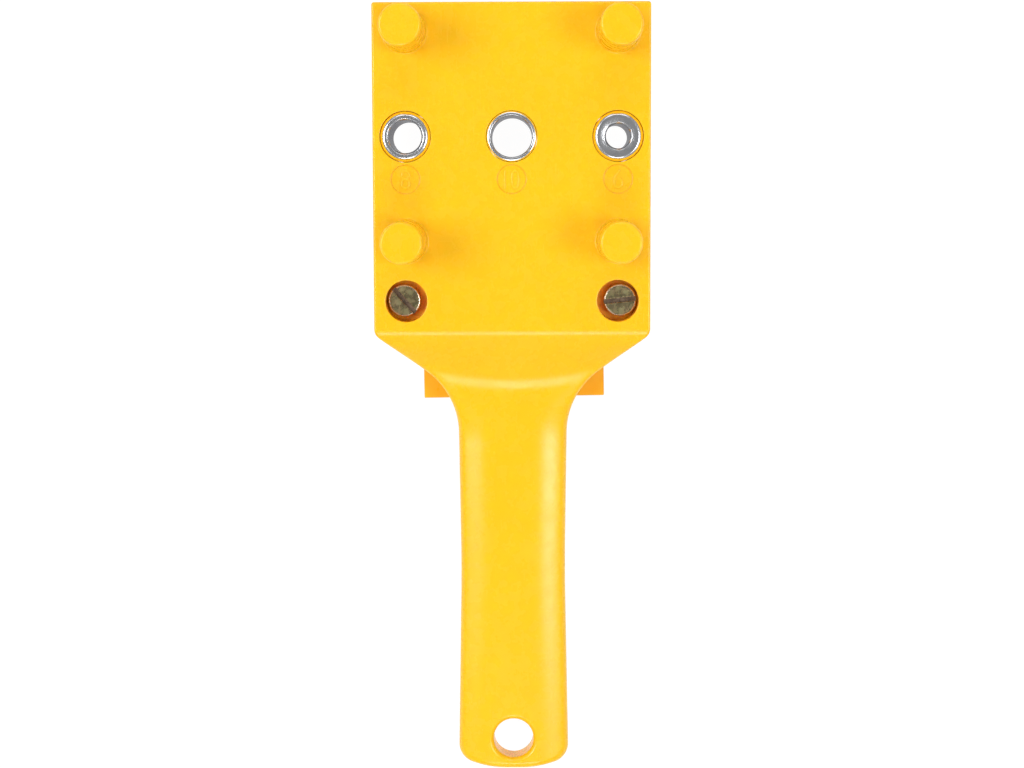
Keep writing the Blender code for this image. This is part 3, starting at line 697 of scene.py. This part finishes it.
def clamp_screw(label, side, slot_deg):
    top, tip, pitch = 2.5, -20.0, 0.7
    centre = (side * SCREW_X, SCREW_Y, SCREW_SEAT)
    bm = bmesh.new()
    around, per_turn = 48, 10
    length = 17.6
    rows = int(length / pitch * per_turn)
    grid = []
    for j in range(rows + 1):
        z = tip + length * j / rows
        ring = []
        for i in range(around):
            turn = i / around
            phase = (z / pitch - turn) % 1.0
            depth = 0.40 * min(1.0, max(0.0, abs(phase - 0.5) * 2.6 - 0.15))
            fade = min(1.0, (z - tip) / 0.9)
            runout = min(1.0, (tip + length - z) / 1.2)
            radius = min(1.95 - depth * runout, 1.35 + 0.6 * fade)
            angle = math.tau * turn
            ring.append(bm.verts.new((radius * math.cos(angle), radius * math.sin(angle), z)))
        grid.append(ring)
    for lower, upper in zip(grid, grid[1:]):
        for i in range(around):
            k = (i + 1) % around
            bm.faces.new((lower[i], lower[k], upper[k], upper[i]))
    bm.faces.new(list(reversed(grid[0])))
    bm.faces.new(grid[-1])
    shank = solid(bm, place=centre)
    rim = quarter((3.60, top - 0.40), 0.40, 0, 1, 8)
    profile = [(0.0, -3.0), (1.6, -3.0), (1.75, -2.6), (1.75, -0.3), (2.0, 0.0), (3.9, 0.0), (4.0, 0.1)]
    head = turned(profile + rim + [(0.0, top)], centre, ROUND)
    groove = box((-8, -0.6, top - 1.3), (8, 0.6, top + CUT))
    groove.data.transform(Matrix.Translation(centre) @ Matrix.Rotation(math.radians(slot_deg), 4, "Z"))
    joined = carved(head, *cut(groove), ("UNION", shank))
    body = f"clamp_screw_{label}"
    piece(joined, f"slotted_screw_{label}", body, body, "yellow_zinc", centre, 40.0)


def square_nut(label, side):
    half = NUT_HALF
    outline = both_sides(rounded_side([(half, half, 0.4), (half, -half, 0.4)]))
    centre = (side * SCREW_X, SCREW_Y, NUT_TOP)
    block = prism(outline, -NUT_THICK, 0.0, centre)
    crown = turned([(0.0, -3.0), (4.9, -3.0), (4.9, -1.9), (4.3, 1.0), (0.0, 1.0)], centre)
    mouth = [(0.0, -5.0), (2.7, -5.0), (2.7, -NUT_THICK), (2.25, -NUT_THICK + 0.4), (2.25, -0.4)]
    hole = turned(mouth + [(2.7, 0.0), (2.7, 2.0), (0.0, 2.0)], centre, 64)
    nut = carved(block, ("INTERSECT", crown), *cut(hole))
    piece(nut, f"pressed_nut_{label}", "jig", f"square_nut_{label}", "yellow_zinc", centre)


# Fence

def fence():
    face, ear, tail = -13.0 - SCREW_Y, -12.4, -25.5
    wide, tail_half = 33.5, 23.0
    outline = both_sides(rounded_side([
        (wide, face, 0.3),
        (wide, ear + 5.5, 2.0),
        (wide - 5.5, ear, 2.0),
        (tail_half, ear, 2.0),
        (tail_half, tail, 0.3),
    ]))
    made = prism(outline, -FENCE_DEPTH, 0.0)
    low, high, far = -FENCE_DEPTH - CUT, -FENCE_PLATE, FAR
    half_wall = FENCE_WALL / 2
    ribs = []
    for side in (-1, 0, 1):
        x = side * (tail_half - half_wall)
        ribs.append(box((x - half_wall, -far - CUT, -FENCE_PLATE - 4.0), (x + half_wall, far, 0)))
        for edge in (-1, 1):
            if side:
                near = side * SCREW_X + edge * 3.8
                away = near + edge * 1.7
                ribs.append(box((min(near, away), -10.8, -FENCE_PLATE - 3.2), (max(near, away), 10.8, 0)))
    back = carved(box((-far, -far, low), (far, face - FENCE_WALL, high)), *cut(*ribs))
    steps = cut(back)
    slot = both_sides(rounded_side([(2.45, 9.75, 2.447), (2.45, -9.75, 2.447)]))
    for side in (-1, 1):
        steps += cut(prism(slot, low, CUT, (side * SCREW_X, 0, 0)))
    made = carved(made, *steps)
    soften = made.modifiers.new("soften", "BEVEL")
    soften.width, soften.segments, soften.limit_method = 0.12, 2, "ANGLE"
    soften.angle_limit, soften.use_clamp_overlap = math.radians(40), True
    made = baked(made)
    centre = (0, SCREW_Y, FENCE_FRONT)
    made.data.transform(Matrix.Translation(centre) @ Matrix.Rotation(math.radians(0.75), 4, "Z"))
    piece(made, "moulded_fence", "fence", "fence", "fence_plastic")


jig_body()
for name, side, bore in (("8mm", -1, 4.0), ("10mm", 0, 5.0), ("6mm", 1, 3.0)):
    bush(name, side, bore)
for label, side, slot_deg in (("left", -1, -48.0), ("right", 1, 6.0)):
    clamp_screw(label, side, slot_deg)
    square_nut(label, side)
fence()


# Floor, light and camera

def studio_floor():
    bm = bmesh.new()
    bmesh.ops.create_grid(bm, x_segments=8, y_segments=8, size=4.5)
    bmesh.ops.translate(bm, verts=bm.verts, vec=Vector((0, 0, -0.0001)))
    mesh = bpy.data.meshes.new("floor")
    bm.to_mesh(mesh)
    bm.free()
    floor = bpy.data.objects.new("floor", mesh)
    scene.collection.objects.link(floor)
    made = bpy.data.materials.new("pale_floor")
    made.use_nodes = True
    tree = made.node_tree
    tree.nodes.clear()
    rays = tree.nodes.new("ShaderNodeLightPath").outputs
    seen = tree.nodes.new("ShaderNodeMath")
    seen.operation = "MAXIMUM"
    tree.links.new(rays["Is Camera Ray"], seen.inputs[0])
    tree.links.new(rays["Is Glossy Ray"], seen.inputs[1])
    also = tree.nodes.new("ShaderNodeMath")
    also.operation = "MAXIMUM"
    tree.links.new(seen.outputs[0], also.inputs[0])
    tree.links.new(rays["Is Transmission Ray"], also.inputs[1])
    share = tree.nodes.new("ShaderNodeMath")
    share.operation = "MULTIPLY"
    tree.links.new(also.outputs[0], share.inputs[0])
    share.inputs[1].default_value = 0.9
    paper = tree.nodes.new("ShaderNodeBsdfDiffuse")
    paper.inputs["Color"].default_value = (0.85, 0.85, 0.85, 1)
    white = tree.nodes.new("ShaderNodeEmission")
    white.inputs["Color"].default_value = (1, 1, 1, 1)
    white.inputs["Strength"].default_value = 1.08
    blend = tree.nodes.new("ShaderNodeMixShader")
    tree.links.new(share.outputs[0], blend.inputs[0])
    tree.links.new(paper.outputs[0], blend.inputs[1])
    tree.links.new(white.outputs[0], blend.inputs[2])
    out = tree.nodes.new("ShaderNodeOutputMaterial")
    tree.links.new(blend.outputs[0], out.inputs["Surface"])
    mesh.materials.append(made)


def soft_light(name, azimuth, elevation, distance, size, power):
    lamp = bpy.data.lights.new(name, "AREA")
    lamp.shape, lamp.size, lamp.size_y, lamp.energy = "RECTANGLE", size[0], size[1], power
    lit = bpy.data.objects.new(name, lamp)
    a, e = math.radians(azimuth), math.radians(elevation)
    away = Vector((math.sin(a) * math.cos(e), math.cos(a) * math.cos(e), math.sin(e)))
    lit.location = Vector((0.0, 0.05, 0.03)) + away * distance
    lit.rotation_euler = away.to_track_quat("Z", "Y").to_euler()
    lit.visible_camera = False
    scene.collection.objects.link(lit)


def studio_sky():
    world = scene.world or bpy.data.worlds.new("studio")
    scene.world = world
    world.use_nodes = True
    tree = world.node_tree
    tree.nodes.clear()
    coords = tree.nodes.new("ShaderNodeTexCoord")
    parts = tree.nodes.new("ShaderNodeSeparateXYZ")
    tree.links.new(coords.outputs["Generated"], parts.inputs[0])
    level = tree.nodes.new("ShaderNodeMapRange")
    tree.links.new(parts.outputs["Z"], level.inputs[0])
    for socket, value in zip(level.inputs[1:5], (0.0, 1.0, 0.62, 0.20)):
        socket.default_value = value
    sky = tree.nodes.new("ShaderNodeBackground")
    sky.inputs["Color"].default_value = (1, 1, 1, 1)
    tree.links.new(level.outputs[0], sky.inputs["Strength"])
    out = tree.nodes.new("ShaderNodeOutputWorld")
    tree.links.new(sky.outputs[0], out.inputs["Surface"])


def camera():
    lens = bpy.data.cameras.new("camera")
    lens.lens, lens.sensor_width = 71.56, 36.0
    lens.clip_start, lens.clip_end = 0.01, 10.0
    eye = bpy.data.objects.new("camera", lens)
    eye.location = (0.0038043, 0.0499874, 0.5273)
    eye.rotation_euler = [math.radians(turn) for turn in (-5.3740, 0.4285, -0.1790)]
    scene.collection.objects.link(eye)
    scene.camera = eye


studio_floor()
studio_sky()
soft_light("left_softbox", -83, 57, 2.5, (1.05, 1.05), 25.5)
soft_light("right_softbox", 100, 61, 2.5, (0.80, 0.80), 19.0)
soft_light("top_softbox", 0, 50, 2.5, (1.60, 1.20), 11.5)
soft_light("front_softbox", 180, 54, 3.0, (1.10, 1.10), 20.0)
camera()
scene.view_settings.view_transform = "Standard"
